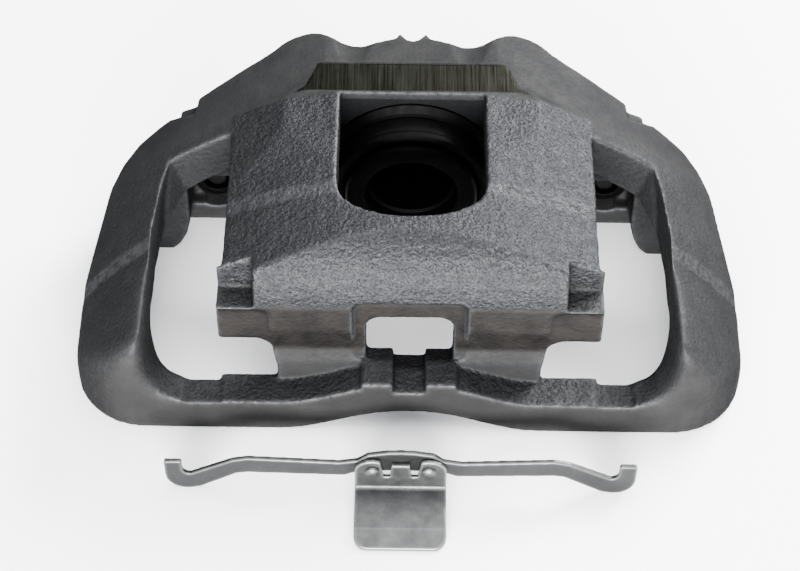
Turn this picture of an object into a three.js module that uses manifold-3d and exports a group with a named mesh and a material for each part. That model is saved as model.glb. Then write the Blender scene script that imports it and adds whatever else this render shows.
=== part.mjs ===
// Floating frame brake caliper with its retaining spring clip laid in front of it.
// Millimetres, +Z up. X runs along the disc's tangent, Y along the piston axis towards the
// middle of the car, and Z away from the axle. The casting is drawn with y = 0 on the front
// bar's face, z = 0 on the surface it stands on and x = 0 on its plane of symmetry.

import * as THREE from 'three';
import { ConvexGeometry } from 'three/addons/geometries/ConvexGeometry.js';
import { mergeVertices } from 'three/addons/utils/BufferGeometryUtils.js';
import Module from 'manifold-3d';

const wasm = await Module();
wasm.setup();

// ---- Driving dimensions ----

const GAP = 0.3; // clearance between touching pieces
const BEYOND = 200; // past the casting on every side, for the ends of cutters

const CREST_R = 168; // radius of the casting's outer surface, about the wheel
const CREST_Z = -78; // height of that surface's axis
const HOLLOW_R = 150; // radius of the inner surface, over the disc
const STEP_Y = 50; // where the outer surface steps up
const STEP_LENGTH = 6;
const STEP_HEIGHT = 1.6;
const BEVEL_Y = 105; // where the outer surface starts to fall away to the back
const BEVEL_DROP = 4;

const DEPTH = 152; // front bar's face to the cylinder's closed end
const CORNER_X = 136; // half the frame's width
const CORNER_R = 30;

const BAR_DEPTH = 12.7;
const BAR_HEIGHT = 17;
const BAR_ARCH = 11.7; // rise of the bar in the middle
const BAR_ARCH_HALF = 51;
const LEDGE_Y = BAR_DEPTH + 2.6; // back of the ledge that the bar carries under the fingers
const PAD_DEPTH = 0.8; // of the shallow channels across the bar's top

const WALL_Y = 12.4; // outboard face of the finger wall
const WALL_BACK_Y = 25;
const WALL_BREAK_Z = 60; // where the wall starts to roll over into the bridge
const ROLL_DEPTH = 26;
const ROLL_HEIGHT = 30;
const BRIDGE_HALF = 73.4;
const FINGER_HALF = 75.6;
const LEG_HALF = 54;
const FINGER_TIP_Z = 40;
const POCKET_X = 61; // pocket in each finger's outer top corner
const PATCH_X = 54.5; // inner edge of the ground patch on each finger
const PATCH_DEPTH = 0.9;

const WINDOW_FRONT_Y = 12.7;
const WINDOW_BACK_Y = 95.5;
const ARM_INNER_X = 104.6;
const WINDOW_CORNER_R = 18;
const FOOT_Y = 98; // front of the rear feet

const AXIS_Z = 43.5; // height of the piston axis
const CYLINDER_R = 43;
const CYLINDER_END_R = 39;
const CYLINDER_Y = 106; // cylinder's open face
const BOOT_SEAT_R = 36.5;
const BOOT_SEAT_Y = 111.5;
const PISTON_R = 30;
const BORE_R = PISTON_R + GAP;
const BORE_END_Y = 144;
const SEAL_Y = 119;
const SEAL_WIDTH = 4;
const SEAL_R = 33;

const PISTON_NOSE_Y = 89.3;
const PISTON_LENGTH = 50;
const PISTON_CAVITY_R = 19.2;
const NOSE_R = 27.6;
const NOSE_GROOVE_R = 26.2;

const U_HALF = 29.5; // half width of the inspection window in the bridge
const U_NEAR_Y = 36.5;
const U_ROUND = 20;
const MILLED_Z = 84;
const MILLED_Y = 110;
const MILLED_DEPTH = 16;
const MILLED_FRONT_HALF = 46.5;
const MILLED_BACK_HALF = 42;
const SHOULDER_X = 51.5; // ridge on each side of the inspection window

const GUIDE_X = 84;
const GUIDE_Z = 22;
const GUIDE_BOSS_R = 13;
const GUIDE_BORE_R = 9.3;
const GUIDE_FRONT_Y = 118; // front of the web that the guide bosses stand on
const GUIDE_BACK_Y = 150;
const GUIDE_PIN_R = 5.5;

const BLEEDER_X = -20;
const PORT_X = 20;
const FITTING_Z = 34; // height of the bleeder and of the hose port
const FITTING_BOSS_R = 10;
const FITTING_BOSS_Y = DEPTH + 4;

const CLIP_FRONT_Y = -30; // leaf's front face, as the clip lies
const CLIP_X = -2.9; // middle of the clip, as it lies
const LEAF_THICK = 2;
const PLATE_THICK = 1.8;
const PLATE_HALF = 18;
const RIVET_X = 11;
const RIVET_Z = 15.5;
const RIVET_SHANK_R = 1.7;
const RIVET_R = 3;

const IRON = { color: 0x4c5157, roughness: 0.62, metalness: 0.75 };
const STEEL = { color: 0x3a3c3e, roughness: 0.35, metalness: 0.9 };
const ZINC = { color: 0x9a9f9e, roughness: 0.42, metalness: 0.9 };
const RUBBER = { color: 0x101112, roughness: 0.75, metalness: 0 };
const PLASTIC = { color: 0x8c1f1a, roughness: 0.5, metalness: 0 };

// ---- Solids from three.js geometry ----

function toSolid(geometry) {
  const bare = geometry.clone();
  bare.deleteAttribute('normal');
  bare.deleteAttribute('uv');
  const merged = mergeVertices(bare, 1e-4);
  const corners = merged.index.array;
  const triVerts = [];
  for (let i = 0; i < corners.length; i += 3) {
    const [a, b, c] = corners.slice(i, i + 3);
    if (a !== b && b !== c && c !== a) triVerts.push(a, b, c);
  }
  return new wasm.Manifold(new wasm.Mesh({
    numProp: 3,
    vertProperties: Float32Array.from(merged.attributes.position.array),
    triVerts: Uint32Array.from(triVerts),
  }));
}

function toGeometry(solid) {
  const mesh = solid.getMesh();
  const geometry = new THREE.BufferGeometry();
  geometry.setAttribute('position', new THREE.BufferAttribute(mesh.vertProperties, 3));
  geometry.setIndex(new THREE.BufferAttribute(mesh.triVerts, 1));
  return geometry;
}

// Joins a list of solids.
function join(...solids) {
  return solids.reduce((whole, solid) => whole.add(solid));
}

// A copy of the solid, and its mirror image at -x.
function bothSides(makeSolid) {
  return join(makeSolid(1), makeSolid(-1));
}

const ALONG_X = new THREE.Matrix4().makeBasis(
  new THREE.Vector3(0, 1, 0), new THREE.Vector3(0, 0, 1), new THREE.Vector3(1, 0, 0));
const ALONG_Y = new THREE.Matrix4().makeBasis(
  new THREE.Vector3(1, 0, 0), new THREE.Vector3(0, 0, 1), new THREE.Vector3(0, -1, 0));

function extrude(shape, depth) {
  return new THREE.ExtrudeGeometry(shape, { depth, bevelEnabled: false, curveSegments: 8 });
}

// A prism whose shape is drawn in y and z, from x0 to x1.
function prismX(shape, x0, x1) {
  return toSolid(extrude(shape, x1 - x0).applyMatrix4(ALONG_X).translate(x0, 0, 0));
}

// A prism whose shape is drawn in x and z, from y0 to y1.
function prismY(shape, y0, y1) {
  return toSolid(extrude(shape, y1 - y0).applyMatrix4(ALONG_Y).translate(0, y1, 0));
}

// A prism whose shape is drawn in x and y, from z0 to z1.
function prismZ(shape, z0, z1) {
  return toSolid(extrude(shape, z1 - z0).translate(0, 0, z0));
}

function box(x0, x1, y0, y1, z0, z1) {
  const geometry = new THREE.BoxGeometry(x1 - x0, y1 - y0, z1 - z0);
  return toSolid(geometry.translate((x0 + x1) / 2, (y0 + y1) / 2, (z0 + z1) / 2));
}

// A box on one side of the plane of symmetry: x0 and x1 are distances from it.
function sideBox(side, x0, x1, y0, y1, z0, z1) {
  const [low, high] = side > 0 ? [x0, x1] : [-x1, -x0];
  return box(low, high, y0, y1, z0, z1);
}

// A convex solid round a list of points, drawn for +x.
function hullOn(side, points) {
  const corners = points.map(([x, y, z]) => new THREE.Vector3(side * x, y, z));
  return toSolid(new ConvexGeometry(corners));
}

// A prism along Y from an outline drawn for +x.
function sidePrismY(side, points, y0, y1) {
  return prismY(polygon(points.map(([x, z]) => [side * x, z])), y0, y1);
}

// A solid turned about a line along Y through (x, z); the profile is a list of [radius, y].
function turned(profile, x, z, segments = 48) {
  const points = profile.map(([radius, y]) => new THREE.Vector2(radius, y));
  return toSolid(new THREE.LatheGeometry(points, segments).translate(x, 0, z));
}

// A round rod along Y.
function rod(radius, x, z, y0, y1, segments = 48) {
  return turned([[0, y0], [radius, y0], [radius, y1], [0, y1]], x, z, segments);
}

function polygon(points) {
  return new THREE.Shape(points.map(([a, b]) => new THREE.Vector2(a, b)));
}

// Points on an ellipse from one angle to another, in degrees.
function arc(cx, cy, rx, ry, from, to, steps) {
  const points = [];
  for (let i = 0; i <= steps; i += 1) {
    const angle = THREE.MathUtils.degToRad(from + ((to - from) * i) / steps);
    points.push([cx + rx * Math.cos(angle), cy + ry * Math.sin(angle)]);
  }
  return points;
}

// A closed outline from its right half, which runs from the centre line back to it.
function mirrored(half) {
  const left = half.map(([x, other]) => [-x, other]).reverse();
  return polygon([...half, ...left.filter(([x]) => x !== 0)]);
}

function roundedRect(x0, x1, z0, z1, r) {
  return polygon([
    ...arc(x1 - r, z0 + r, r, r, -90, 0, 4),
    ...arc(x1 - r, z1 - r, r, r, 0, 90, 4),
    ...arc(x0 + r, z1 - r, r, r, 90, 180, 4),
    ...arc(x0 + r, z0 + r, r, r, 180, 270, 4),
  ]);
}

// ---- Housing ----

// The whole body of revolution that the casting's outer surface is cut from.
function crest() {
  return turned([
    [0, -1],
    [CREST_R - STEP_HEIGHT, -1],
    [CREST_R - STEP_HEIGHT, STEP_Y],
    [CREST_R, STEP_Y + STEP_LENGTH],
    [CREST_R, BEVEL_Y],
    [CREST_R - BEVEL_DROP, DEPTH],
    [0, DEPTH],
  ], 0, CREST_Z, 144);
}

// The space over the disc, under the casting's inner surface.
function hollow(radius, y0, y1) {
  return rod(radius, 0, CREST_Z, y0, y1, 120);
}

// The casting seen from above: rounded front corners, tapering arms, stepped wings and a
// back edge with two humps, two dips and a forked rib.
function planOutline() {
  const frontCorner = arc(CORNER_X - CORNER_R, CORNER_R, CORNER_R, CORNER_R, -90, 0, 8);
  const hump = [[58.6, 143], [54.2, 147], [50.2, 148.6], [46, 149.4], [42, 149.2], [38.6, 147.8]];
  const dip = [[34.4, 144.9], [30, 142.6], [25.5, 141.1], [21.5, 140.6], [17, 140.9], [13, 142.2]];
  const prong = [[9.8, 143.6], [7.2, 144.4], [6.3, 146.8], [5.4, 147.4], [4.6, 146.6]];
  return mirrored([
    [0, 0],
    ...frontCorner,
    [134.5, 58],
    [127.6, 103.5],
    [122.7, 114.3],
    [115.8, 120.5],
    [102.5, 124],
    [90.9, 118.5],
    [90.4, 128.5],
    [80.5, 132],
    [64.2, 139.5],
    ...hump,
    ...dip,
    ...prong,
    [2.6, 143.8],
    [0, 142.3],
  ]);
}

// One side window, seen from above.
function windowOutline(side) {
  const inner = BRIDGE_HALF;
  const right = [
    [FINGER_HALF, WINDOW_FRONT_Y],
    ...arc(
      ARM_INNER_X - WINDOW_CORNER_R,
      WINDOW_FRONT_Y + WINDOW_CORNER_R,
      WINDOW_CORNER_R,
      WINDOW_CORNER_R,
      -90,
      0,
      6,
    ),
    [105, 60],
    [102.4, 86],
    [100, WINDOW_BACK_Y],
    [inner, WINDOW_BACK_Y],
    [inner, 27],
    [FINGER_HALF, WALL_BACK_Y - 4],
  ];
  return polygon(right.map(([x, y]) => [side * x, y]));
}

// The front bar, seen from the front: both edges arch up in the middle.
function barOutline() {
  const rise = (x) => {
    const t = Math.min(Math.abs(x) / BAR_ARCH_HALF, 1);
    return BAR_ARCH * (0.5 + 0.5 * Math.cos(Math.PI * t ** 1.15));
  };
  const steps = [0, 6, 12, 18, 24, 30, 36, 42, 47, BAR_ARCH_HALF, 110];
  const bottom = steps.map((x) => [x, rise(x)]);
  const top = steps.map((x) => [x, BAR_HEIGHT + rise(x)]).reverse();
  return mirrored([...bottom, ...top]);
}

// A front corner of the frame, seen from the front: the bar's top sweeps up into the arm.
function cornerOutline(side) {
  const r = WINDOW_CORNER_R - 1;
  const sweep = arc(ARM_INNER_X - r, BAR_HEIGHT + r, r, r, 0, -90, 6);
  const right = [
    [84, 0],
    [140, 0],
    [140, 80],
    [ARM_INNER_X, 80],
    ...sweep,
    [84, BAR_HEIGHT],
  ];
  return polygon(right.map(([x, z]) => [side * x, z]));
}

// The side of the frame: a nearly upright front that rounds over onto the arms.
function frameSide() {
  return polygon([
    [0, -20],
    [0, 28],
    ...arc(15, 36, 15, 20, 180, 90, 6),
    [15, 120],
    [170, 120],
    [170, -20],
  ]);
}

function frame(outer, plan) {
  const inPlan = outer.intersect(plan).intersect(prismX(frameSide(), -BEYOND, BEYOND));
  const sides = bothSides((side) => sideBox(side, BRIDGE_HALF, BEYOND, CORNER_R, 124, 0, 100));
  const arms = inPlan.intersect(sides).subtract(hollow(HOLLOW_R, CORNER_R - 1, FOOT_Y));
  const underside = prismX(polygon([[16, -5], [42, 10], [88, 10], [97, -5]]), -BEYOND, BEYOND);
  const corners = inPlan.intersect(bothSides((side) => prismY(cornerOutline(side), 0, CORNER_R + 4)));
  const bar = inPlan.intersect(prismY(barOutline(), 0, BAR_DEPTH));
  return join(arms.subtract(underside), corners.subtract(underside), bar)
    .subtract(bothSides(wingHollow))
    .subtract(bothSides((side) => prismZ(windowOutline(side), -5, 110)))
    .add(bothSides(windowCorner))
    .subtract(bothSides(barPad));
}

// The space under each wing, which leaves a rounded foot at the wing's outer side.
function wingHollow(side) {
  const outline = [[70, 45], [94.3, 45], [94.3, 17], [96.3, 9], [99, 3.5], [103, -1], [103, -5], [70, -5]];
  const front = FOOT_Y - 1;
  return sidePrismY(side, outline, front, 130).intersect(hollow(HOLLOW_R, front, 130));
}

// The drafted inner corner at the back of each side window.
function windowCorner(side) {
  return hullOn(side, [
    [99.5, WINDOW_BACK_Y, 56],
    [94.6, WINDOW_BACK_Y, 39.5],
    [101.2, 81, 34.5],
    [104, 81, 34.5],
    [104, 97, 34.5],
    [94.6, 97, 39.5],
    [104, 81, 40],
    [104, 97, 54],
  ]);
}

// A shallow channel across the bar's top, under each finger.
function barPad(side) {
  return sideBox(side, 74.6, 90.2, -5, 14.2, BAR_HEIGHT - PAD_DEPTH, 24);
}

// The bridge and finger wall from the side: upright wall, large roll-over, flat top.
function bridgeSide() {
  return polygon([
    [WALL_Y, 12],
    [WALL_Y + 0.3, 28],
    [WALL_Y + 2.2, 34],
    [WALL_Y + 1.2, 41],
    [WALL_Y, 47],
    ...arc(WALL_Y + ROLL_DEPTH, WALL_BREAK_Z, ROLL_DEPTH, ROLL_HEIGHT, 180, 90, 8),
    [CYLINDER_Y + 8, WALL_BREAK_Z + ROLL_HEIGHT],
    [CYLINDER_Y + 8, 0],
    [WALL_BACK_Y, 0],
    [WALL_BACK_Y, 12],
  ]);
}

function bridge(outer) {
  const wide = box(-FINGER_HALF, FINGER_HALF, 0, WALL_BACK_Y, 0, 100);
  const narrow = box(-BRIDGE_HALF, BRIDGE_HALF, WALL_BACK_Y - 1, CYLINDER_Y + 8, 0, 100);
  const body = outer.intersect(prismX(bridgeSide(), -80, 80)).intersect(join(wide, narrow));
  return body.subtract(hollow(HOLLOW_R, WALL_BACK_Y, CYLINDER_Y + 9));
}

// The gap under each fingertip, down to the bar's ledge.
function fingerGap(side) {
  const r = 8;
  const outline = [
    [LEG_HALF - 1.2, -5],
    [LEG_HALF - 1.2, 24],
    [LEG_HALF + 0.4, FINGER_TIP_Z - r],
    ...arc(LEG_HALF + 0.4 + r, FINGER_TIP_Z - r, r, r, 165, 90, 5),
    [90, FINGER_TIP_Z],
    [90, -5],
  ];
  const ledge = sideBox(side, 0, 100, -10, LEDGE_Y, -10, BAR_HEIGHT);
  return sidePrismY(side, outline, -5, 60).subtract(ledge);
}

// The pocket in the outer top corner of each finger.
function fingerPocket(side) {
  return sideBox(side, POCKET_X, 90, 0, 24, WALL_BREAK_Z - 0.5, 100);
}

// The ground patch on each finger.
function fingerPatch(side) {
  const r = 5;
  const outline = [
    [PATCH_X, 30],
    [PATCH_X, WALL_BREAK_Z - 1 - r],
    ...arc(PATCH_X + r, WALL_BREAK_Z - 1 - r, r, r, 180, 90, 3),
    [90, WALL_BREAK_Z - 1],
    [90, 30],
  ];
  return sidePrismY(side, outline, 0, WALL_Y + PATCH_DEPTH);
}

// The central window with its sloping sill, the channel in the sill, and the shallow recess
// that the clip's plate lies in.
function centreCuts() {
  const opening = prismY(roundedRect(-17.3, 17.3, 20, 52.5, 6), 0, 40);
  const base = BAR_HEIGHT + BAR_ARCH;
  const recess = prismY(roundedRect(-22.6, 22.6, base, 62.5, 4), 0, WALL_Y + 2.2);
  const floor = base - 5;
  const channel = prismX(
    polygon([[-5, floor], [BAR_DEPTH, floor], [26, 18], [40, 18], [40, 45], [-5, 45]]), -6.5, 6.5);
  return { opening, recess, channel };
}

function sill() {
  const height = BAR_HEIGHT + BAR_ARCH;
  const side = polygon([[0, 14], [0, height], [13, height], [WALL_BACK_Y, 22.5], [WALL_BACK_Y, 14]]);
  return prismX(side, -19, 19);
}

function inspectionWindow() {
  const near = arc(0, U_NEAR_Y + U_ROUND, U_HALF, U_ROUND, 180, 360, 14);
  return prismZ(polygon([...near, [U_HALF, CYLINDER_Y], [-U_HALF, CYLINDER_Y]]), 58, 110);
}

// The raised shoulder on each side of the inspection window: a flat top, a side slope and a
// three-cornered front, which meet in a ridge.
function shoulder(side) {
  const top = [
    [22, 55.1, 88.5],
    [22, 114, 87.5],
    [SHOULDER_X + 0.5, 87.5, 84],
    [SHOULDER_X, 106, 84],
    [48, 114, 82.2],
    [BRIDGE_HALF, 59.6, 73.2],
    [BRIDGE_HALF, 101, 73.2],
    [BRIDGE_HALF, 108, 72.4],
  ];
  return hullOn(side, [...top, ...top.map(([x, y]) => [x, y, 66])]).subtract(hollow(HOLLOW_R, 50, 120));
}

// The inboard side: roof, web, cylinder barrel, guide bosses, lower ribs and wings.
function inboard(outer, plan) {
  const solidRoof = outer.intersect(plan).intersect(box(-91, 91, 100, DEPTH, 20, 110));
  const roof = solidRoof.subtract(hollow(HOLLOW_R - 1, 90, 170));
  const barrel = turned([
    [0, CYLINDER_Y],
    [CYLINDER_R, CYLINDER_Y],
    [CYLINDER_R, 118],
    [CYLINDER_END_R, 127],
    [CYLINDER_END_R, DEPTH - 14],
    [CYLINDER_END_R - 3.5, DEPTH - 8.5],
    [CYLINDER_END_R - 10, DEPTH - 4],
    [CYLINDER_END_R - 20, DEPTH - 1],
    [0, DEPTH],
  ], 0, AXIS_Z, 64);
  const neck = solidRoof.intersect(box(-CYLINDER_R, CYLINDER_R, CYLINDER_Y, 136, 50, 110));
  const web = prismY(
    polygon([[-98, 4], [98, 4], [98, 55], [60, 72], [-60, 72], [-98, 55]]), GUIDE_FRONT_Y, 127);
  const rib = box(-99, 99, GUIDE_FRONT_Y - 6, 127, 4, 14);
  const bosses = bothSides((side) => rod(
    GUIDE_BOSS_R, side * GUIDE_X, GUIDE_Z, GUIDE_FRONT_Y, GUIDE_BACK_Y, 32));
  const fittings = join(
    rod(FITTING_BOSS_R, BLEEDER_X, FITTING_Z, DEPTH - 8, FITTING_BOSS_Y, 32),
    rod(FITTING_BOSS_R + 1, PORT_X, FITTING_Z, DEPTH - 8, FITTING_BOSS_Y, 32),
  );
  return join(roof, barrel, neck, web.intersect(outer), rib, bosses, fittings);
}

// The space above the roof behind the inspection window, which slopes down to the milled flat.
function rearCap() {
  const level = MILLED_Z + 0.3;
  return prismX(polygon([
    [CYLINDER_Y - 1, 88.4],
    [MILLED_Y, level],
    [MILLED_Y + MILLED_DEPTH, level],
    [DEPTH + 5, 81.5],
    [DEPTH + 5, 120],
    [CYLINDER_Y - 1, 120],
  ]), -70, 70);
}

function inboardCuts() {
  const bore = turned([
    [0, CYLINDER_Y - 5],
    [BOOT_SEAT_R, CYLINDER_Y - 5],
    [BOOT_SEAT_R, BOOT_SEAT_Y],
    [BORE_R, BOOT_SEAT_Y],
    [BORE_R, SEAL_Y],
    [SEAL_R + GAP, SEAL_Y],
    [SEAL_R + GAP, SEAL_Y + SEAL_WIDTH],
    [BORE_R, SEAL_Y + SEAL_WIDTH],
    [BORE_R, BORE_END_Y],
    [0, BORE_END_Y],
  ], 0, AXIS_Z, 64);
  const milled = prismZ(polygon([
    [-MILLED_FRONT_HALF, MILLED_Y],
    [MILLED_FRONT_HALF, MILLED_Y],
    [MILLED_BACK_HALF, MILLED_Y + MILLED_DEPTH],
    [-MILLED_BACK_HALF, MILLED_Y + MILLED_DEPTH],
  ]), MILLED_Z, 110);
  const valleys = bothSides((side) => toSolid(
    new THREE.CylinderGeometry(13, 13, 60, 40)
      .scale(1.2, 1, 1)
      .rotateX(-0.2)
      .translate(side * 24.5, 136, 95.1)));
  const guideBores = bothSides((side) => rod(GUIDE_BORE_R, side * GUIDE_X, GUIDE_Z, 100, 170, 32));
  const bleederBore = turned([
    [0, BORE_END_Y - 2],
    [1.8, BORE_END_Y - 2],
    [1.8, DEPTH - 7],
    [4.3, DEPTH - 3],
    [4.3, FITTING_BOSS_Y + 5],
    [0, FITTING_BOSS_Y + 5],
  ], BLEEDER_X, FITTING_Z, 24);
  const portBore = turned([
    [0, BORE_END_Y - 2],
    [2, BORE_END_Y - 2],
    [2, DEPTH - 4],
    [5.3, DEPTH - 4],
    [5.3, FITTING_BOSS_Y + 5],
    [0, FITTING_BOSS_Y + 5],
  ], PORT_X, FITTING_Z, 24);
  return join(bore, milled, rearCap(), valleys, guideBores, bleederBore, portBore);
}

function housing() {
  const outer = crest();
  const plan = prismZ(planOutline(), -10, 120);
  const centre = centreCuts();
  const wall = bridge(outer)
    .subtract(bothSides(fingerGap))
    .subtract(bothSides(fingerPocket))
    .subtract(bothSides(fingerPatch))
    .subtract(centre.opening)
    .subtract(centre.recess);
  const ledgeUnderFingers = bothSides((side) => sideBox(
    side, LEG_HALF - 2, FINGER_HALF - 1, BAR_DEPTH - 1, LEDGE_Y, 0, BAR_HEIGHT));
  return join(
    frame(outer, plan),
    wall,
    sill(),
    ledgeUnderFingers,
    bothSides(shoulder),
    inboard(outer, plan),
  )
    .subtract(centre.channel)
    .subtract(inspectionWindow())
    .subtract(inboardCuts())
    .intersect(box(-BEYOND, BEYOND, -10, BEYOND, 0, 120));
}

// ---- Piston, seal and boot ----

function piston() {
  const end = PISTON_NOSE_Y + PISTON_LENGTH;
  return turned([
    [PISTON_CAVITY_R - 1.5, PISTON_NOSE_Y + 13],
    [PISTON_CAVITY_R - 1.5, PISTON_NOSE_Y + 9],
    [PISTON_CAVITY_R, PISTON_NOSE_Y + 9],
    [PISTON_CAVITY_R, PISTON_NOSE_Y + 1],
    [PISTON_CAVITY_R + 1, PISTON_NOSE_Y],
    [NOSE_R - 1, PISTON_NOSE_Y],
    [NOSE_R, PISTON_NOSE_Y + 1],
    [NOSE_R, PISTON_NOSE_Y + 4],
    [NOSE_GROOVE_R, PISTON_NOSE_Y + 4],
    [NOSE_GROOVE_R, PISTON_NOSE_Y + 8],
    [PISTON_R - 1, PISTON_NOSE_Y + 8],
    [PISTON_R, PISTON_NOSE_Y + 9],
    [PISTON_R, end - 1.5],
    [PISTON_R - 1.5, end],
    [0, end],
    [0, end - 7],
    [PISTON_CAVITY_R - 1.5, end - 7],
    [PISTON_CAVITY_R - 1.5, PISTON_NOSE_Y + 13],
  ], 0, AXIS_Z, 64);
}

function pistonSeal() {
  const inner = PISTON_R + GAP;
  const y0 = SEAL_Y + GAP;
  const y1 = SEAL_Y + SEAL_WIDTH - GAP;
  return turned([[inner, y0], [SEAL_R, y0], [SEAL_R, y1], [inner, y1], [inner, y0]], 0, AXIS_Z, 64);
}

// A sleeve round the piston: its lip sits in the nose groove, its foot in the housing's seat.
function dustBoot() {
  const lipY = PISTON_NOSE_Y + 4 + GAP;
  const inner = PISTON_R + GAP;
  const foot = BOOT_SEAT_R - GAP;
  return turned([
    [NOSE_GROOVE_R + GAP, lipY],
    [NOSE_R + GAP, lipY],
    [28.4, lipY - 1.4],
    [31, lipY - 2],
    [32.4, lipY - 0.8],
    [33, lipY + 1.2],
    [33, BOOT_SEAT_Y - 7.4],
    [32, BOOT_SEAT_Y - 6.4],
    [32, BOOT_SEAT_Y - 5.6],
    [foot, BOOT_SEAT_Y - 4],
    [foot, BOOT_SEAT_Y - GAP],
    [inner, BOOT_SEAT_Y - GAP],
    [inner, lipY + 3.4],
    [NOSE_GROOVE_R + GAP, lipY + 3.4],
    [NOSE_GROOVE_R + GAP, lipY],
  ], 0, AXIS_Z, 64);
}

// ---- Bleeder and hose port ----

function bleederScrew() {
  const y = FITTING_BOSS_Y;
  const stem = turned([
    [0, DEPTH - 2],
    [1.2, DEPTH - 2],
    [4, y - 4],
    [4, y + 1],
    [3.2, y + 1],
    [3.2, y + 5.5],
    [2.4, y + 6.5],
    [3, y + 8],
    [2.2, y + 10],
    [0, y + 10],
  ], BLEEDER_X, FITTING_Z, 24);
  const hexagon = turned(
    [[0, y + 1], [5.5, y + 1], [5.5, y + 4.5], [0, y + 4.5]], BLEEDER_X, FITTING_Z, 6);
  const hole = rod(0.8, BLEEDER_X, FITTING_Z, y - 3, y + 12, 12);
  return stem.add(hexagon).subtract(hole);
}

function bleederCap() {
  const y = FITTING_BOSS_Y + 5;
  return turned([
    [3.5, y],
    [5, y],
    [5, y + 3],
    [4.3, y + 4],
    [4.3, y + 7],
    [2.5, y + 8],
    [0, y + 8],
    [0, y + 6],
    [3.5, y + 5.4],
    [3.5, y],
  ], BLEEDER_X, FITTING_Z, 24);
}

function hosePortPlug() {
  const y = FITTING_BOSS_Y;
  const plug = turned([
    [0, DEPTH - 2],
    [4, DEPTH - 2],
    [5, DEPTH - 1],
    [5, y + GAP],
    [8.5, y + GAP],
    [8.5, y + 2],
    [6.5, y + 2.6],
    [6.5, y + 7],
    [0, y + 7],
  ], PORT_X, FITTING_Z, 24);
  const slot = box(PORT_X - 10, PORT_X + 10, y + 5.5, y + 8, FITTING_Z - 1, FITTING_Z + 1);
  return plug.subtract(slot);
}

// ---- Guides ----

function guideBush(side) {
  const outer = GUIDE_BORE_R - GAP;
  const inner = GUIDE_PIN_R + GAP;
  return turned([
    [inner, GUIDE_FRONT_Y + 0.5],
    [outer, GUIDE_FRONT_Y + 0.5],
    [outer, GUIDE_BACK_Y + GAP],
    [11, GUIDE_BACK_Y + GAP],
    [11, GUIDE_BACK_Y + 2.5],
    [inner, GUIDE_BACK_Y + 2.5],
    [inner, GUIDE_FRONT_Y + 0.5],
  ], side * GUIDE_X, GUIDE_Z, 32);
}

// A plain pin with a threaded front end and a socket for the key in its back end.
function guidePin(side) {
  const x = side * GUIDE_X;
  const y0 = GUIDE_FRONT_Y + 1.5;
  const y1 = GUIDE_BACK_Y - 1;
  const shank = turned([
    [0, y0],
    [3.6, y0],
    [4.4, y0 + 1],
    [4.4, y0 + 10],
    [GUIDE_PIN_R, y0 + 10.8],
    [GUIDE_PIN_R, y1 - 0.8],
    [GUIDE_PIN_R - 0.8, y1],
    [0, y1],
  ], x, GUIDE_Z, 32);
  return shank.subtract(rod(3.8, x, GUIDE_Z, y1 - 7, y1 + 1, 6));
}

function guideCap(side) {
  const y = GUIDE_BACK_Y + 2.5 + GAP;
  return turned([
    [0, y - 2],
    [GUIDE_PIN_R - GAP, y - 2],
    [GUIDE_PIN_R, y],
    [9, y],
    [9.4, y + 1],
    [8.4, y + 3],
    [0, y + 3.6],
  ], side * GUIDE_X, GUIDE_Z, 32);
}

// ---- Spring clip, as it lies in front of the casting ----

// The leaf seen from the front: arched middle, level arms, drooping ends and upturned hooks.
function leafOutline() {
  const hook = arc(84.1, 8.2, 8.2, 8.2, -100, -5, 6);
  return mirrored([
    [0, 13],
    [16, 12.4],
    [22, 9.5],
    [60, 10.6],
    [64, 10],
    [78.5, 1.2],
    ...hook,
    [92.5, 16.2],
    [92.1, 16.8],
    [86.1, 17],
    [85.5, 16.4],
    ...arc(82.1, 12.4, 3.4, 3.4, 0, -80, 3),
    [66, 18],
    [60, 19.4],
    [24, 17.4],
    [17, 18.8],
    [13, 22.4],
    [5, 24],
    [0, 24.2],
  ]);
}

function clipLeaf() {
  const back = CLIP_FRONT_Y + LEAF_THICK;
  const leaf = prismY(leafOutline(), CLIP_FRONT_Y, back);
  return leaf.subtract(rivetHoles(CLIP_FRONT_Y - 1, back + 1));
}

function rivetHoles(y0, y1) {
  return bothSides((side) => rod(RIVET_SHANK_R + GAP, side * RIVET_X, RIVET_Z, y0, y1, 16));
}

// The plate seen from the side: upright flange, bend, flat plate and a drooping front lip.
function clipPlate() {
  const back = CLIP_FRONT_Y - GAP;
  const front = back - PLATE_THICK;
  const sheet = prismX(polygon([
    [back, 22],
    [front, 22],
    [front, 5.8],
    [front - 1, 4.8],
    [front - 19, 4.2],
    [front - 27, 1.9],
    [front - 27, 0.1],
    [front - 19, 2.4],
    [front - 1, 3],
    [back - 0.6, 3.6],
    [back, 4.8],
  ]), -PLATE_HALF, PLATE_HALF);
  const flange = mirrored([
    [0, 0],
    [PLATE_HALF, 0],
    [PLATE_HALF, 13],
    ...arc(RIVET_X, RIVET_Z, 7, 5.6, 0, 115, 5),
    [6.6, 11.6],
    [4.2, 11.6],
    [3.6, 18.6],
    [0, 18.6],
  ]);
  const lip = 5;
  const nose = arc(PLATE_HALF - lip, front - 27 + lip, lip, lip, -90, 0, 4);
  const footprint = mirrored([[0, front - 28], ...nose, [PLATE_HALF, back + 1], [0, back + 1]]);
  return sheet
    .intersect(prismY(flange, front - 40, back + 1))
    .intersect(prismZ(footprint, -1, 40))
    .subtract(rivetHoles(front - 1, back + 1));
}

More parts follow.
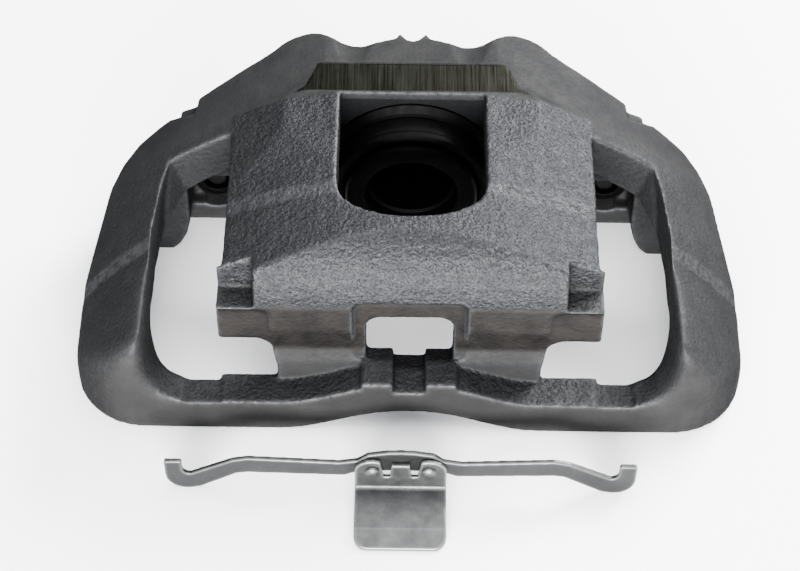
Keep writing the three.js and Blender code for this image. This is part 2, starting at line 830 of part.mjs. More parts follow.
function clipRivet(side) {
  const front = CLIP_FRONT_Y - GAP - PLATE_THICK - GAP;
  const back = CLIP_FRONT_Y + LEAF_THICK + GAP;
  return turned([
    [0, front - 1.8],
    [1.4, front - 1.6],
    [2.6, front - 0.9],
    [RIVET_R, front],
    [RIVET_SHANK_R, front],
    [RIVET_SHANK_R, back],
    [RIVET_R - 0.3, back],
    [RIVET_R - 0.6, back + 0.9],
    [0, back + 1],
  ], side * RIVET_X, RIVET_Z, 16);
}

// ---- The assembly ----

const assembly = new THREE.Group();

const pieces = new THREE.Group();
assembly.add(pieces);

function addPiece(name, solid, look, x = 0) {
  const geometry = toGeometry(solid).translate(x, 0, 0);
  const mesh = new THREE.Mesh(geometry, new THREE.MeshStandardMaterial(look));
  mesh.name = name;
  pieces.add(mesh);
}

addPiece('caliper_housing', housing(), IRON);
addPiece('piston', piston(), STEEL);
addPiece('piston_seal', pistonSeal(), RUBBER);
addPiece('dust_boot', dustBoot(), RUBBER);
addPiece('bleeder_screw', bleederScrew(), ZINC);
addPiece('bleeder_cap', bleederCap(), RUBBER);
addPiece('hose_port_plug', hosePortPlug(), PLASTIC);
for (const [name, side] of [['left', -1], ['right', 1]]) {
  addPiece(`guide_bush_${name}`, guideBush(side), RUBBER);
  addPiece(`guide_pin_${name}`, guidePin(side), ZINC);
  addPiece(`guide_cap_${name}`, guideCap(side), RUBBER);
  addPiece(`clip_rivet_${name}`, clipRivet(side), ZINC, CLIP_X);
}
addPiece('clip_leaf', clipLeaf(), ZINC, CLIP_X);
addPiece('clip_plate', clipPlate(), ZINC, CLIP_X);

// The origin is under the middle of the whole object.
const extent = new THREE.Box3().setFromObject(pieces);
pieces.position.y = -(extent.min.y + extent.max.y) / 2;

export default assembly;
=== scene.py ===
# Looks of the brake caliper and its spring clip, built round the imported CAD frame.
# Metres, +Z up, in the CAD frame; lengths given in millimetres carry the factor MM.
import math

import bmesh
import bpy
import numpy as np
from mathutils import Matrix, Vector, noise


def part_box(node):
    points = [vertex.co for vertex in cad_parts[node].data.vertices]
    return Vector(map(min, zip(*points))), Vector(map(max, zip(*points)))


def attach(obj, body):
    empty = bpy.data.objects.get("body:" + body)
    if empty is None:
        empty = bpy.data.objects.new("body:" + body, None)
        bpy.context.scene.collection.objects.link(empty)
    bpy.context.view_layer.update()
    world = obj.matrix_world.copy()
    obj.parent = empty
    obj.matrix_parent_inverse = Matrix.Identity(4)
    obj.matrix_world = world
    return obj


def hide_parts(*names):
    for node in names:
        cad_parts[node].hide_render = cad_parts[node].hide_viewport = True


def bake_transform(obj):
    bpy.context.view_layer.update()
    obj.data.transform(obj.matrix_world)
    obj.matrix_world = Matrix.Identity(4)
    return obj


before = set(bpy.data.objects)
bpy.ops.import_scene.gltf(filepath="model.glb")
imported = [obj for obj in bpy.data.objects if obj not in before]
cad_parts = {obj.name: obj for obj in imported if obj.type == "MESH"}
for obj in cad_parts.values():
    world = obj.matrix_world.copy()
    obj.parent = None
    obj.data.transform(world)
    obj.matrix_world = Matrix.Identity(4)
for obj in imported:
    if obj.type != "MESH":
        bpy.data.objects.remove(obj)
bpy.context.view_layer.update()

MM = 0.001
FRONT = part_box("caliper_housing")[0].y  # the front bar's face, from which the casting is measured

# How far a point goes towards the mean of its neighbours in one round of smoothing.
RELAX = 0.6

# The casting, in millimetres; its y is measured back from FRONT.
CAST_VOXEL = 0.6
CAST_ROUNDS, CAST_ROUNDING = 8, 0.8
CORNER_ROUNDS = 320
CAST_LUMPS = ((7, 0.2), (1.6, 0.14))  # the size and height of the skin's lumps
FLAT_Z = 83.8
FLAT_FRONT_HALF, FLAT_FRONT_Y = 46.5, 110
FLAT_BACK_HALF, FLAT_BACK_Y = 42, 126
MOUTH_R, BORE_R, GROOVE_R = 36.8, 30.6, 33.5
PIN_HOLE_R, BLEEDER_HOLE_R, PORT_HOLE_R = 9.5, 4.5, 5.5

# Pieces turned on a lathe.
TURNED_SEGMENTS = 160
HOLE_SEGMENTS = 64
CORNER_STEPS = 4

# Base colours in linear light. A pair runs from the darker to the lighter.
CAST_SKIN = (0.0135, 0.0135, 0.0137), (0.0195, 0.0194, 0.0193)
SAND_GRAIN = (0.0155, 0.0162, 0.0175), (0.033, 0.0335, 0.0345)
GROUND_FACE = (0.0165, 0.0155, 0.015), (0.0235, 0.0213, 0.0198)
# Lighter grey of worn edges, partly a painted highlight along the rims and the bridge's step.
WORN_EDGE_AND_HIGHLIGHT = (0.045, 0.046, 0.048)
# Painted shade: the tone that darkens inner edges and the cylinder's face behind the window.
PAINTED_SHADE_TONE = (0.004, 0.0042, 0.0045)
MILLED_FACE = (0.0045, 0.0047, 0.0038), (0.017, 0.017, 0.0145)
MILLED_CLOUD = (0.0155, 0.0155, 0.0135)
ZINC_TINT = (0.97, 1.0, 1.0)
# Dark grey for scratch marks on zinc, also painted as shade in its hollows.
ZINC_MARK_AND_SHADE = (0.012, 0.012, 0.012)
RUBBER_SKIN = (0.0008, 0.0008, 0.0009), (0.0018, 0.0018, 0.0019)
PISTON_NEAR_BLACK = (0.0012, 0.0012, 0.0013), (0.0022, 0.0022, 0.0023)
TURNING_MARK = (0.004, 0.004, 0.0042)
RED_PLASTIC = (0.05, 0.003, 0.002), (0.075, 0.006, 0.004)
FLOOR_PAPER = (0.97, 0.97, 0.98, 1)
SKY = (0.9, 0.93, 1.0, 1)


# ---- Meshes ----

def add_object(name, data):
    made = bpy.data.objects.new(name, data)
    bpy.context.scene.collection.objects.link(made)
    return made


def add_built(name, bm):
    """Ends the building of a mesh and puts it in the scene."""
    mesh = bpy.data.meshes.new(name)
    bm.to_mesh(mesh)
    bm.free()
    return add_object(name, mesh)


def apply_modifiers(obj):
    graph = bpy.context.evaluated_depsgraph_get()
    mesh = bpy.data.meshes.new_from_object(obj.evaluated_get(graph))
    obj.modifiers.clear()
    old, obj.data = obj.data, mesh
    bpy.data.meshes.remove(old)


def fine_copy(node, name, voxel):
    """A copy of a CAD node as an even, fine mesh."""
    made = add_object(name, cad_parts[node].data.copy())
    made.data.materials.clear()
    remesh = made.modifiers.new("voxels", "REMESH")
    remesh.mode = "VOXEL"
    remesh.voxel_size = voxel
    apply_modifiers(made)
    made.data.shade_smooth()
    return made


def read_points(mesh):
    flat = np.empty(len(mesh.vertices) * 3, np.float32)
    mesh.vertices.foreach_get("co", flat)
    return flat.reshape(-1, 3).astype(float)


def write_points(mesh, points):
    mesh.vertices.foreach_set("co", points.astype(np.float32).ravel())
    mesh.update()


def read_normals(mesh):
    flat = np.empty(len(mesh.vertices) * 3, np.float32)
    mesh.vertex_normals.foreach_get("vector", flat)
    return flat.reshape(-1, 3).astype(float)


def read_edges(mesh):
    flat = np.empty(len(mesh.edges) * 2, np.int32)
    mesh.edges.foreach_get("vertices", flat)
    return flat.reshape(-1, 2)


def neighbour_mean(values, edges):
    """The mean of the values at the far ends of each point's edges."""
    count = len(values)
    a, b = edges[:, 0], edges[:, 1]
    share = np.maximum(np.bincount(a, minlength=count) + np.bincount(b, minlength=count), 1)
    columns = [
        (np.bincount(a, v[b], count) + np.bincount(b, v[a], count)) / share for v in values.T
    ]
    return np.stack(columns, 1)


def soften(obj, rounds, most):
    """Rounds the mesh's edges off, moving no point further than most."""
    start = read_points(obj.data)
    edges = read_edges(obj.data)
    points = start.copy()
    for _ in range(rounds):
        points += RELAX * (neighbour_mean(points, edges) - points)
    moved = points - start
    length = np.linalg.norm(moved, axis=1, keepdims=True)
    write_points(obj.data, start + moved * np.minimum(1, most / np.maximum(length, 1e-9)))


def roughen(obj, layers, share):
    """Moves points along their normals by noise, times each point's share. A layer is the size
    of its lumps and their height, in millimetres."""
    points, normals = read_points(obj.data), read_normals(obj.data)
    height = np.zeros(len(points))
    for size, amount in layers:
        wave = np.array([noise.noise(Vector(p)) for p in points / (size * MM)])
        height += amount * MM * wave
    write_points(obj.data, points + normals * (height * share)[:, None])


def set_attribute(mesh, name, values):
    made = mesh.attributes.new(name, "FLOAT", "POINT")
    made.data.foreach_set("value", np.clip(values, 0, 1).astype(np.float32))


def edge_wear_and_crease_shade(mesh, scale):
    """From 0 to 1: how much each point stands on an outer edge, and how deep in an inner one; the
    inner share is painted as shade.
    """
    points, normals, edges = read_points(mesh), read_normals(mesh), read_edges(mesh)
    bend = ((neighbour_mean(points, edges) - points) * normals).sum(1)[:, None]
    for _ in range(2):
        bend = 0.5 * bend + 0.5 * neighbour_mean(bend, edges)
    return np.clip(-bend[:, 0] / scale, 0, 1), np.clip(bend[:, 0] / scale, 0, 1)


def ramp(value, low, high):
    """From 0 at low to 1 at high, with soft ends."""
    t = np.clip((value - low) / (high - low), 0, 1)
    return t * t * (3 - 2 * t)


def rounded(points, radius, closed):
    """The outline with its corners rounded off."""
    made = []
    count = len(points)
    for i, here in enumerate(points):
        if not closed and i in (0, count - 1):
            made.append(Vector(here))
            continue
        corner = Vector(here)
        before, after = Vector(points[i - 1]) - corner, Vector(points[(i + 1) % count]) - corner
        turn = math.pi - before.angle(after)
        if turn < 0.05:
            made.append(corner)
            continue
        cut = min(radius * math.tan(turn / 2), 0.45 * before.length, 0.45 * after.length)
        a, b = corner + before.normalized() * cut, corner + after.normalized() * cut
        for k in range(CORNER_STEPS + 1):
            t = k / CORNER_STEPS
            made.append(a * (1 - t) ** 2 + corner * 2 * t * (1 - t) + b * t * t)
    return made


def lathe(name, profile, x, y, z, radius, segments=TURNED_SEGMENTS):
    """A piece turned about the line along Y through x and z, with its corners rounded off. The
    profile is in millimetres: (radius, distance along Y from y). One that starts and ends off
    the axis is a closed ring."""
    closed = profile[0][0] > 0 and profile[-1][0] > 0
    outline = rounded(profile, radius, closed)
    bm = bmesh.new()
    rings = []
    for r, along in outline:
        if r < 1e-6:
            rings.append([bm.verts.new((x, y + along * MM, z))] * segments)
            continue
        rings.append([
            bm.verts.new((x + r * MM * math.cos(a), y + along * MM, z + r * MM * math.sin(a)))
            for a in (2 * math.pi * k / segments for k in range(segments))
        ])
    pairs = list(zip(rings, rings[1:])) + ([(rings[-1], rings[0])] if closed else [])
    for a, b in pairs:
        for k in range(segments):
            n = (k + 1) % segments
            corners = list(dict.fromkeys([a[k], a[n], b[n], b[k]]))
            if len(corners) > 2:
                bm.faces.new(corners)
    bmesh.ops.recalc_face_normals(bm, faces=bm.faces)
    made = add_built(name, bm)
    made.data.shade_smooth()
    made.data.set_sharp_from_angle(angle=math.radians(50))
    return made


def prism(name, outline, z0, z1):
    """An upright prism, used as a cutter; its outline is in x and y."""
    bm = bmesh.new()
    low = [bm.verts.new((x, y, z0)) for x, y in outline]
    high = [bm.verts.new((x, y, z1)) for x, y in outline]
    bm.faces.new(low)
    bm.faces.new(high)
    for k in range(len(outline)):
        n = (k + 1) % len(outline)
        bm.faces.new([low[k], low[n], high[n], high[k]])
    bmesh.ops.recalc_face_normals(bm, faces=bm.faces)
    return add_built(name, bm)


def cut(obj, *cutters):
    for cutter in cutters:
        boolean = obj.modifiers.new("cut", "BOOLEAN")
        boolean.operation = "DIFFERENCE"
        boolean.solver = "EXACT"
        boolean.object = cutter
    apply_modifiers(obj)
    for cutter in cutters:
        bpy.data.objects.remove(cutter)


# ---- Shader nodes ----

def new_material(name):
    material = bpy.data.materials.new(name)
    material.use_nodes = True
    tree = material.node_tree
    return material, tree, tree.nodes["Principled BSDF"]


def node(tree, kind, inputs=None, **settings):
    """A shader node. Each input is a socket to link or a value to set."""
    made = tree.nodes.new(kind)
    for key, value in settings.items():
        setattr(made, key, value)
    for key, value in (inputs or {}).items():
        if isinstance(value, bpy.types.NodeSocket):
            tree.links.new(value, made.inputs[key])
        else:
            made.inputs[key].default_value = value
    return made


def object_place(tree, scale=(1, 1, 1)):
    place = node(tree, "ShaderNodeTexCoord").outputs["Object"]
    return node(tree, "ShaderNodeMapping", {"Vector": place, "Scale": scale}).outputs[0]


def noise_value(tree, place, scale, detail=3.0, roughness=0.5):
    made = node(tree, "ShaderNodeTexNoise", {
        "Vector": place, "Scale": scale, "Detail": detail, "Roughness": roughness})
    return made.outputs["Fac"]


def stretch(tree, value, low, high, to_low=0.0, to_high=1.0):
    made = node(tree, "ShaderNodeMapRange", {
        "Value": value, "From Min": low, "From Max": high, "To Min": to_low, "To Max": to_high})
    return made.outputs[0]


def combine(tree, operation, a, b):
    return node(tree, "ShaderNodeMath", {0: a, 1: b}, operation=operation).outputs[0]


def mix(tree, factor, a, b):
    """A mix of two colours, each a socket or its red, green and blue."""
    a, b = ((*c, 1) if isinstance(c, tuple) else c for c in (a, b))
    return node(tree, "ShaderNodeMix", {0: factor, 6: a, 7: b}, data_type="RGBA").outputs[2]


def shade(tree, value, low, high, pair):
    """A colour between the two of a pair, as the value goes from low to high."""
    return mix(tree, stretch(tree, value, low, high), *pair)


def attribute(tree, name):
    return node(tree, "ShaderNodeAttribute", attribute_name=name).outputs["Fac"]


def set_bump(tree, shader, height, strength, distance, under=None):
    inputs = {"Height": height, "Strength": strength, "Distance": distance}
    if under is not None:
        inputs["Normal"] = under
    bump = node(tree, "ShaderNodeBump", inputs).outputs[0]
    tree.links.new(bump, shader.inputs["Normal"])
    return bump


def plug_in(tree, shader, **inputs):
    for key, value in inputs.items():
        tree.links.new(value, shader.inputs[key.replace("_", " ")])


# ---- Materials ----

def cast_iron():
    material, tree, shader = new_material("cast_iron")
    place = object_place(tree)
    grain, ground = attribute(tree, "grain"), attribute(tree, "ground")
    milled = attribute(tree, "milled")
    edge, painted_shade = attribute(tree, "edge"), attribute(tree, "painted_shade")

    patches = noise_value(tree, place, 55.0, 5.0, 0.62)
    specks = noise_value(tree, place, 1150.0, 2.0, 0.6)
    colour = shade(tree, patches, 0.35, 0.65, CAST_SKIN)
    colour = mix(tree, grain, colour, shade(tree, specks, 0.36, 0.68, SAND_GRAIN))
    warm = shade(tree, noise_value(tree, place, 90.0), 0.35, 0.7, GROUND_FACE)
    colour = mix(tree, ground, colour, warm)
    # Outer edges lightened in patches: worn metal, and partly a painted highlight along the rims.
    chips = stretch(tree, noise_value(tree, place, 350.0), 0.32, 0.55)
    worn = combine(tree, "MULTIPLY", edge, chips)
    colour = mix(tree, worn, colour, WORN_EDGE_AND_HIGHLIGHT)
    # Painted shade in inner edges and on the cylinder's face behind the window.
    colour = mix(tree, painted_shade, colour, PAINTED_SHADE_TONE)

    streaks = noise_value(tree, object_place(tree, (1, 0.02, 0.02)), 1500.0, 3.0, 0.7)
    broad = noise_value(tree, object_place(tree, (1, 0.15, 0.15)), 150.0, 2.0)
    steel = shade(tree, streaks, 0.35, 0.7, MILLED_FACE)
    steel = mix(tree, stretch(tree, broad, 0.5, 0.8), steel, MILLED_CLOUD)
    colour = mix(tree, milled, colour, steel)

    rough = stretch(tree, noise_value(tree, place, 260.0, 4.0), 0.3, 0.7, 0.5, 0.64)
    rough = combine(tree, "SUBTRACT", rough, combine(tree, "MULTIPLY", worn, 0.12))
    bare = combine(tree, "MAXIMUM", stretch(tree, grain, 0.1, 0.9, 0.35, 0.95),
                   combine(tree, "MAXIMUM", ground, milled))
    plug_in(tree, shader, Base_Color=colour, Roughness=rough, Metallic=bare)
    shader.inputs["Specular IOR Level"].default_value = 0
    shader.inputs["Specular Tint"].default_value = (0.15, 0.15, 0.15, 1)

    sand = node(tree, "ShaderNodeTexVoronoi", {"Vector": place, "Scale": 620.0},
                feature="SMOOTH_F1").outputs["Distance"]
    height = combine(tree, "ADD", combine(tree, "MULTIPLY", specks, 1.2), sand)
    strength = combine(tree, "MULTIPLY", stretch(tree, grain, 0, 1, 0.15, 1.0),
                       combine(tree, "SUBTRACT", 1.0, milled))
    under = set_bump(tree, shader, height, strength, 0.4 * MM)
    marks = combine(tree, "MULTIPLY", streaks, milled)
    set_bump(tree, shader, marks, 0.6, 0.06 * MM, under)
    return material


def zinc(name, dark, light, worn):
    """Zinc plating between two greys, with worn edges of a third grey, dark scratch marks and
    painted shade in its hollows.
    """
    material, tree, shader = new_material(name)
    place = object_place(tree)
    cloud = noise_value(tree, place, 130.0, 5.0, 0.65)
    plating = [tuple(grey * c for c in ZINC_TINT) for grey in (dark, light)]
    colour = shade(tree, cloud, 0.3, 0.7, plating)
    scratches = node(tree, "ShaderNodeTexNoise", {
        "Vector": object_place(tree, (1, 0.25, 1)), "Scale": 420.0, "Detail": 2.0,
        "Distortion": 2.5})
    off_line = combine(tree, "SUBTRACT", scratches.outputs["Fac"], 0.5)
    lines = stretch(tree, combine(tree, "ABSOLUTE", off_line, 0.0), 0.0, 0.012, 1.0, 0.0)
    where = stretch(tree, noise_value(tree, place, 75.0, 2.0), 0.52, 0.62)
    marks = combine(tree, "MULTIPLY", lines, where)
    edge, painted_shade = attribute(tree, "edge"), attribute(tree, "painted_shade")
    worn_grey = (worn, worn, worn)
    # Scratch marks and worn edges, then painted shade darkening the hollows.
    for share, amount, over in (
            (marks, 0.75, ZINC_MARK_AND_SHADE), (edge, 0.6, worn_grey), (painted_shade, 0.8, ZINC_MARK_AND_SHADE)):
        colour = mix(tree, combine(tree, "MULTIPLY", share, amount), colour, over)
    rough = stretch(tree, noise_value(tree, place, 500.0, 3.0), 0.3, 0.7, 0.34, 0.5)
    plug_in(tree, shader, Base_Color=colour, Roughness=rough)
    shader.inputs["Metallic"].default_value = 0.85
    height = combine(tree, "SUBTRACT", noise_value(tree, place, 700.0, 3.0), marks)
    set_bump(tree, shader, height, 0.35, 0.05 * MM)
    return material


def rubber():
    material, tree, shader = new_material("rubber")
    place = object_place(tree)
    colour = shade(tree, noise_value(tree, place, 160.0, 5.0, 0.65), 0.5, 0.75, RUBBER_SKIN)
    plug_in(tree, shader, Base_Color=colour,
            Roughness=stretch(tree, noise_value(tree, place, 300.0), 0.3, 0.7, 0.42, 0.6))
    shader.inputs["Specular IOR Level"].default_value = 0.03
    set_bump(tree, shader, noise_value(tree, place, 1400.0, 3.0), 0.25, 0.05 * MM)
    return material


def piston_steel(axis):
    """Near-black steel with turning marks round the piston's axis."""
    material, tree, shader = new_material("piston_steel")
    place = object_place(tree)
    x, z = axis
    across = node(tree, "ShaderNodeVectorMath", {0: place, 1: (-x, 0, -z)},
                  operation="ADD").outputs[0]
    flat = node(tree, "ShaderNodeVectorMath", {0: across, 1: (1, 0, 1)},
                operation="MULTIPLY").outputs[0]
    distance = node(tree, "ShaderNodeVectorMath", {0: flat}, operation="LENGTH").outputs["Value"]
    along = node(tree, "ShaderNodeSeparateXYZ", {0: place}).outputs[1]
    rings = node(tree, "ShaderNodeCombineXYZ", {0: distance, 1: along}).outputs[0]
    turning = noise_value(tree, rings, 1800.0, 2.0)
    cloud = noise_value(tree, place, 120.0, 4.0)
    colour = shade(tree, cloud, 0.3, 0.7, PISTON_NEAR_BLACK)
    colour = mix(tree, stretch(tree, turning, 0.45, 0.7, 0.0, 0.5), colour, TURNING_MARK)
    plug_in(tree, shader, Base_Color=colour, Roughness=stretch(tree, cloud, 0.3, 0.7, 0.28, 0.42))
    shader.inputs["Metallic"].default_value = 0.5
    shader.inputs["Specular IOR Level"].default_value = 0
    set_bump(tree, shader, turning, 0.3, 0.03 * MM)
    return material


def plastic():
    material, tree, shader = new_material("plug_plastic")
    place = object_place(tree)
    colour = shade(tree, noise_value(tree, place, 200.0, 4.0), 0.35, 0.7, RED_PLASTIC)
    plug_in(tree, shader, Base_Color=colour,
            Roughness=stretch(tree, noise_value(tree, place, 600.0), 0.3, 0.7, 0.35, 0.5))
    set_bump(tree, shader, noise_value(tree, place, 1200.0), 0.2, 0.04 * MM)
    return material


IRON, RUBBER, PLASTIC = cast_iron(), rubber(), plastic()
ZINC = zinc("zinc_plate", dark=0.036, light=0.07, worn=0.2)
# A much darker copy of the zinc for the guide pins: painted shade, as they sit in shadow behind the
# windows.
PIN_ZINC_SHADED = zinc("zinc_pin_shaded", dark=0.004, light=0.008, worn=0.02)
LEAF_ZINC = zinc("zinc_leaf", dark=0.014, light=0.025, worn=0.14)


def finish_piece(obj, body, material, slot, *nodes):
    """Gives a piece its material, hides the nodes it stands for and hangs it on its body. The slot
    is not used.
    """
    obj.data.materials.clear()
    obj.data.materials.append(material)
    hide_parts(*nodes)
    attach(obj, body)


def axis_of(low, high):
    """The x and z of the axis along Y through the middle of a box."""
    return (low.x + high.x) / 2, (low.z + high.z) / 2


# ---- The casting ----

def casting_place(points):
    """Points as x, y and z in millimetres, with y measured back from the front bar's face."""
    x, y, z = (points / MM).T
    return x, y - FRONT / MM, z


def bore_cutter():
    """The machined bores, a hair wider than in the CAD so that their edges stay crisp."""
    hair, end_gap = 0.4, 3.2
    low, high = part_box("piston")
    x, z = axis_of(low, high)
    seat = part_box("dust_boot")[1].y
    seal_low, seal_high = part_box("piston_seal")
    groove_front, groove_back, bottom = (
        (y - seat) / MM
        for y in (seal_low.y - hair * MM, seal_high.y + hair * MM, high.y + end_gap * MM)
    )
    profile = [(0, -8), (37.9, -8), (37.6, -5.3), (MOUTH_R, -4.4), (MOUTH_R, hair), (BORE_R, hair),
               (BORE_R, groove_front), (GROOVE_R, groove_front), (GROOVE_R, groove_back),
               (BORE_R, groove_back), (BORE_R, bottom), (0, bottom)]
    return lathe("cut_bore", profile, x, seat, z, radius=0.05)


def round_cutter(node, radius, front, back):
    """A round hole on a node's axis, between two distances from the front of the node."""
    low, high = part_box(node)
    x, z = axis_of(low, high)
    profile = [(0, front), (radius, front), (radius, back), (0, back)]
    return lathe("cut_" + node, profile, x, low.y, z, radius=0.01, segments=HOLE_SEGMENTS)


def milled_cutter():
    """What the milled flat takes off, a hair wider than the flat."""
    hair, above = 0.4, 100
    front_half, front_y = FLAT_FRONT_HALF + hair, FLAT_FRONT_Y - hair
    back_half, back_y = FLAT_BACK_HALF + hair, FLAT_BACK_Y + hair
    outline = [(-front_half, front_y), (front_half, front_y),
               (back_half, back_y), (-back_half, back_y)]
    placed = [(x * MM, FRONT + y * MM) for x, y in outline]
    return prism("cut_flat", placed, FLAT_Z * MM, above * MM)


def soften_corners(casting):
    """Takes the crease out of the frame's round front corners."""
    start, edges = read_points(casting.data), read_edges(casting.data)
    x, y, z = casting_place(start)
    share = ramp(np.abs(x), 92, 106) * (1 - ramp(y, 28, 46)) * ramp(z, 10, 18)
    chosen = np.flatnonzero(share > 0)
    number = np.full(len(start), -1)
    number[chosen] = np.arange(len(chosen))
    inner = number[edges]
    inner = inner[(inner >= 0).all(1)]
    points, share = start[chosen], share[chosen][:, None]
    for _ in range(CORNER_ROUNDS):
        points += RELAX * share * (neighbour_mean(points, inner) - points)
    start[chosen] = points
    write_points(casting.data, start)


def grain_share(points, normals):
    """How coarse the cast skin is: coarse on the bridge and the ledge, fine on the back."""
    x, y, z = casting_place(points)
    bridge = (1 - ramp(np.abs(x), 73, 75)) * (1 - ramp(y, 104, 107)) * ramp(z, 50, 62)
    ledge = ramp(normals[:, 2], 0.5, 0.8) * (1 - ramp(y, 24, 28)) * (1 - ramp(z, 30, 34))
    arms = 0.42 * (1 - ramp(y, 95, 110))
    share = np.maximum(np.maximum(bridge, 0.8 * ledge), arms)
    smooth = ramp(-normals[:, 1], 0.8, 0.95) * (1 - ramp(z, 58, 64)) * (y < 16)
    return np.maximum(share * (1 - 0.85 * smooth), 0.15)


def mark_wear_and_painted_light(mesh):
    """Sets where the skin is lighter (worn outer edges that are partly a painted highlight, and a
    painted highlight band on the bridge's step) and where painted shade darkens it (inner edges,
    the cylinder's face behind the window)."""
    edge, painted_shade = edge_wear_and_crease_shade(mesh, 0.07 * MM)
    normals = read_normals(mesh)
    x, y, z = casting_place(read_points(mesh))
    # A lighter band painted on the bridge's step: a painted highlight where the light catches the
    # step.
    step_painted_highlight = ramp(y, 49, 51) * (1 - ramp(y, 55, 57)) * (normals[:, 2] > 0.4)
    facing = ramp(-normals[:, 1], 0.3, 0.6)
    # Painted shade on the cylinder's face behind the window, where shadow falls.
    painted_face_shade = (y > 60) * (y < 112) * (np.abs(x) < 31) * (z < FLAT_Z - 0.4) * facing
    set_attribute(mesh, "edge", np.maximum(edge, 0.45 * step_painted_highlight))
    set_attribute(mesh, "painted_shade", np.maximum(0.5 * painted_shade, 0.8 * painted_face_shade))


def mark_surfaces(mesh):
    """Sets where the skin is coarse, where it is ground and where it is milled."""
    points, normals = read_points(mesh), read_normals(mesh)
    x, y, z = casting_place(points)
    set_attribute(mesh, "grain", grain_share(points, normals))
    wall = ramp(-normals[:, 1], 0.85, 0.97) * (np.abs(x) < 75) * (y > 8) * (y < 16)
    band = ramp(z, 30, 36) * (1 - ramp(z, 58, 63))
    bar = ramp(-normals[:, 1], 0.6, 0.95) * (1 - ramp(y, 2, 10))
    set_attribute(mesh, "ground", np.maximum(wall * band, 0.3 * bar))
    level = (z > FLAT_Z - 0.4) & (z < FLAT_Z + 0.5) & (normals[:, 2] > 0.8)
    within = (y > FLAT_FRONT_Y - 1) & (y < FLAT_BACK_Y + 1) & (np.abs(x) < FLAT_FRONT_HALF + 0.7)
    set_attribute(mesh, "milled", (level & within).astype(float))


def build_casting():
    low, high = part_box("caliper_housing")
    casting = fine_copy("caliper_housing", "caliper_casting", CAST_VOXEL * MM)
    soften_corners(casting)
    soften(casting, CAST_ROUNDS, CAST_ROUNDING * MM)
    mark_wear_and_painted_light(casting.data)
    grain = grain_share(read_points(casting.data), read_normals(casting.data))
    roughen(casting, CAST_LUMPS, 0.2 + 0.8 * grain)
    write_points(casting.data, np.clip(read_points(casting.data), low, high))
    cut(casting, bore_cutter(), milled_cutter(),
        round_cutter("guide_pin_left", PIN_HOLE_R, -12, 60),
        round_cutter("guide_pin_right", PIN_HOLE_R, -12, 60),
        round_cutter("bleeder_screw", BLEEDER_HOLE_R, 3, 30),
        round_cutter("hose_port_plug", PORT_HOLE_R, -1, 30))
    mark_surfaces(casting.data)
    casting.data.shade_smooth()
    casting.data.set_sharp_from_angle(angle=math.radians(48))
    finish_piece(casting, "caliper", IRON, "iron", "caliper_housing")


# ---- Piston and boot ----

def build_piston():
    low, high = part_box("piston")
    x, z = axis_of(low, high)
    length = (high.y - low.y) / MM
    profile = [(0, length - 7), (17.7, length - 7), (17.7, 9.2), (19.2, 9), (19.2, 1.1), (20.2, 0),
               (26.5, 0), (27.6, 1.1), (27.6, 4), (26.2, 4.2), (26.2, 8), (29, 8), (30, 9),
               (30, length - 1.5), (28.5, length), (0, length)]
    piston = lathe("piston_cup", profile, x, low.y, z, radius=0.5)
    finish_piece(piston, "piston_body", piston_steel((x, z)), "piston_steel", "piston")


def build_boot():
    low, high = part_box("dust_boot")
    x, z = axis_of(low, high)
    foot = (high.y - low.y) / MM
    lip = 2.0
    outer = [(27.9, lip), (28.5, 0.8), (30.6, 0.1), (32.3, 0.7), (33, 2.6), (32.2, 4.0),
             (32.8, 5.4), (32.8, foot - 9), (32.2, foot - 7.6), (32.8, foot - 6.4),
             (35.9, foot - 4.6), (36.2, foot - 3.4), (36.2, foot)]
    inner = [(30.4, foot), (30.4, foot - 5), (31, foot - 6.5), (30.4, 9), (31, 7.4),
             (30.4, lip + 3.5), (26.6, lip + 3.3)]
    profile = [(26.6, lip), *outer, *inner]
    boot = lathe("dust_boot_rubber", profile, x, low.y, z, radius=0.6)
    boot.data.materials.append(RUBBER)
    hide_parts("dust_boot")
    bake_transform(boot)


# ---- Small pieces ----

def build_small(node, name, body, material, slot, voxel=0.3 * MM, rounds=3):
    piece = fine_copy(node, name, voxel)
    soften(piece, rounds, 0.25 * MM)
    edge, painted_shade = edge_wear_and_crease_shade(piece.data, 0.035 * MM)
    set_attribute(piece.data, "edge", edge)
    set_attribute(piece.data, "painted_shade", painted_shade)
    finish_piece(piece, body, material, slot, node)


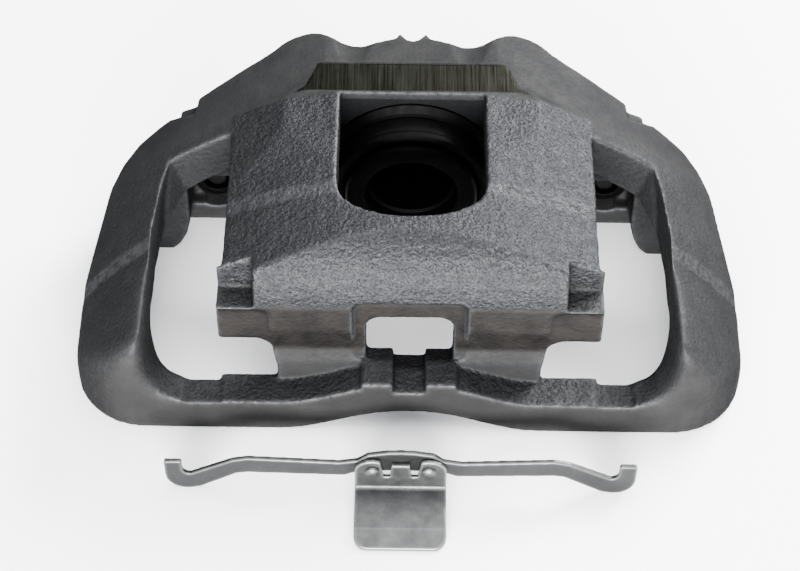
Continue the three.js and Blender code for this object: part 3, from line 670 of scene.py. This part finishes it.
def build_all_small():
    build_small("piston_seal", "seal_ring", "caliper", RUBBER, "rubber", 0.5 * MM)
    build_small("bleeder_screw", "bleeder_nipple", "bleeder", ZINC, "zinc", 0.2 * MM, 2)
    build_small("bleeder_cap", "bleeder_dust_cap", "bleeder_cap_body", RUBBER, "rubber", 0.25 * MM)
    build_small("hose_port_plug", "port_plug_moulding", "port_plug", PLASTIC, "plug_plastic")
    for side in ("left", "right"):
        build_small("guide_bush_" + side, "bush_rubber_" + side, "caliper", RUBBER, "rubber",
                    0.4 * MM)
        build_small("guide_pin_" + side, "pin_steel_" + side, "pin_" + side, PIN_ZINC_SHADED, "zinc")
        build_small("guide_cap_" + side, "cap_rubber_" + side, "cap_" + side, RUBBER, "rubber")
        build_small("clip_rivet_" + side, "rivet_head_" + side, "clip", ZINC, "zinc", 0.15 * MM)
    build_small("clip_leaf", "spring_leaf", "clip", LEAF_ZINC, "zinc", 0.35 * MM)
    build_small("clip_plate", "spring_plate", "clip", ZINC, "zinc", 0.35 * MM)


# ---- Floor, light and camera ----

def build_stage():
    bm = bmesh.new()
    bmesh.ops.create_grid(bm, x_segments=4, y_segments=4, size=4)
    floor = add_built("floor", bm)
    material, _, shader = new_material("floor_paper")
    shader.inputs["Base Color"].default_value = FLOOR_PAPER
    shader.inputs["Roughness"].default_value = 0.9
    shader.inputs["Specular IOR Level"].default_value = 0.1
    floor.data.materials.append(material)


def add_softbox(name, place, target, width, height, power):
    """A rectangular light at place, turned to target. Its power is in watts."""
    data = bpy.data.lights.new(name, "AREA")
    data.shape = "RECTANGLE"
    data.size, data.size_y, data.energy = width, height, power
    light = add_object(name, data)
    light.location = place
    light.rotation_euler = (Vector(target) - Vector(place)).to_track_quat("-Z", "Y").to_euler()


def build_lights():
    world = bpy.data.worlds.new("studio")
    bpy.context.scene.world = world
    world.use_nodes = True
    back = world.node_tree.nodes["Background"]
    back.inputs["Color"].default_value = SKY
    back.inputs["Strength"].default_value = 1.2
    add_softbox("right_back", (0.74, 0.78, 0.72), (0, 0.02, 0.05), 0.7, 0.5, 115)
    add_softbox("front", (-0.05, -1.2, 0.3), (0, 0, 0.06), 0.8, 0.26, 120)
    add_softbox("overhead", (0.1, 0.1, 1.6), (0, 0, 0), 2.0, 2.0, 80)


def build_camera():
    """Looks down at the caliper from in front, at the height and distance of the reference view."""
    data = bpy.data.cameras.new("camera")
    data.lens, data.sensor_width = 96.5, 36.0
    data.clip_start, data.clip_end = 0.05, 20
    camera = add_object("camera", data)
    camera.matrix_world = (
        Matrix.Translation((-0.0041, -0.58575, 0.6884))
        @ Matrix.Rotation(math.radians(41.5), 4, "X")
        @ Matrix.Rotation(math.radians(0.75), 4, "Z")
    )
    bpy.context.scene.camera = camera


build_casting()
build_piston()
build_boot()
build_all_small()
build_stage()
build_lights()
build_camera()
